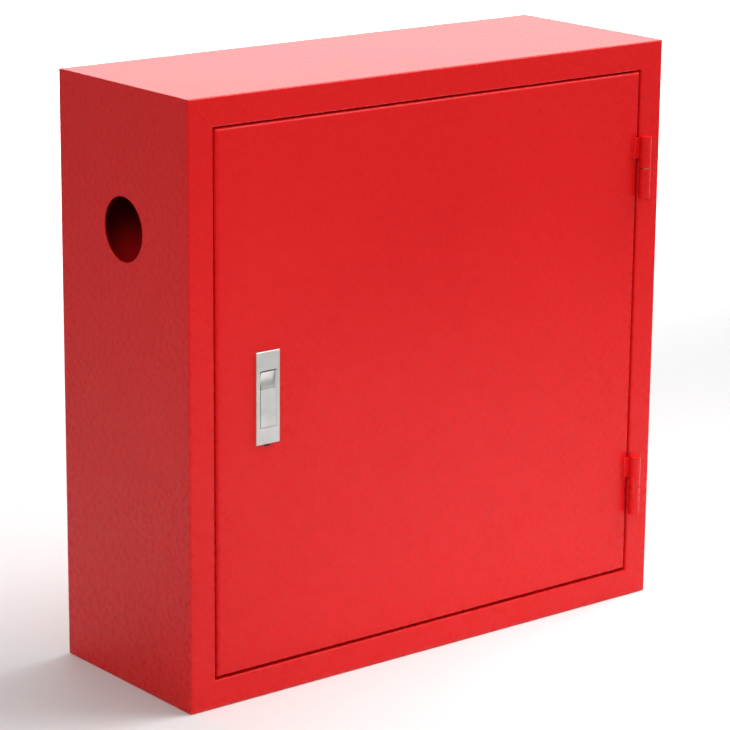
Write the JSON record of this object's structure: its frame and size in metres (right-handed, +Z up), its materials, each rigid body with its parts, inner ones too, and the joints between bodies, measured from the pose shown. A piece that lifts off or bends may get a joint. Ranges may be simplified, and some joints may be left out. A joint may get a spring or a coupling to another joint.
{
  "type": "fire hose cabinet",
  "caption": "Wall-mounted sheet-steel fire hose cabinet with a mitred front frame, flush hinged door, push-button paddle latch and a side hole for the supply pipe.",
  "frame": {"origin": "centre of the underside of the box", "axes": "+X right seen from the front, -Y out of the door, +Z up"},
  "size_m": [0.75, 0.2834, 0.75],
  "materials": {
    "red_paint": "gloss powder coat with fine orange peel",
    "latch_zinc": "satin nickel-plated zinc casting",
    "zinc_plate": "bright zinc plating",
    "steel": "ground steel",
    "spring_steel": "dark spring wire",
    "brass": "turned",
    "black_rubber": "matt"
  },
  "bodies": {
    "cabinet": {"left_side_panel": "red_paint", "right_side_panel": "red_paint", "top_panel": "red_paint", "bottom_panel": "red_paint", "back_panel": "red_paint", "door_buffers": "black_rubber", "strike_plate": "zinc_plate", "strike_rivets": "steel", "upper_hinge_frame_knuckle": "red_paint", "lower_hinge_frame_knuckle": "red_paint", "upper_hinge_pin": "steel", "lower_hinge_pin": "steel", "upper_hinge_washer": "brass", "lower_hinge_washer": "brass"},
    "door": {"door_panel": "red_paint", "door_stiffener": "red_paint", "upper_hinge_door_knuckle": "red_paint", "lower_hinge_door_knuckle": "red_paint", "latch_case": "latch_zinc", "latch_cover": "zinc_plate", "latch_cover_screws": "steel", "latch_plug": "black_rubber", "latch_clamps": "zinc_plate", "latch_clamp_screws": "steel", "bolt_guide": "zinc_plate", "bolt_guide_rivets": "steel", "paddle_pin": "steel", "paddle_spring": "spring_steel", "button_spring": "spring_steel"},
    "paddle": {"paddle": "latch_zinc"},
    "bolt": {"latch_bolt": "zinc_plate"},
    "button": {"push_button": "latch_zinc", "button_clip": "steel"}
  },
  "joints": [
    {"name": "door_swing", "type": "hinge", "parent": "cabinet", "child": "door", "pos_m": [0.3425, -0.1419, 0.375], "axis": [0, 0, 1], "range_deg": [0, 180]},
    {"name": "paddle_swing", "type": "hinge", "parent": "door", "child": "paddle", "pos_m": [-0.262, -0.1338, 0.344], "axis": [1, 0, 0], "range_deg": [0, 32], "stiffness_Nm_per_rad": 0.08, "deforming": ["paddle_spring"]},
    {"name": "bolt_slide", "type": "slide", "parent": "door", "child": "bolt", "axis": [1, 0, 0], "range_m": [0, 0.0138]},
    {"name": "button_press", "type": "slide", "parent": "door", "child": "button", "axis": [0, 1, 0], "range_m": [0, 0.003], "stiffness_N_per_m": 400, "deforming": ["button_spring"]}
  ],
  "couplings": [
    {"joint": "bolt_slide", "follows": "paddle_swing", "m_per_rad": 0.024677}
  ]
}
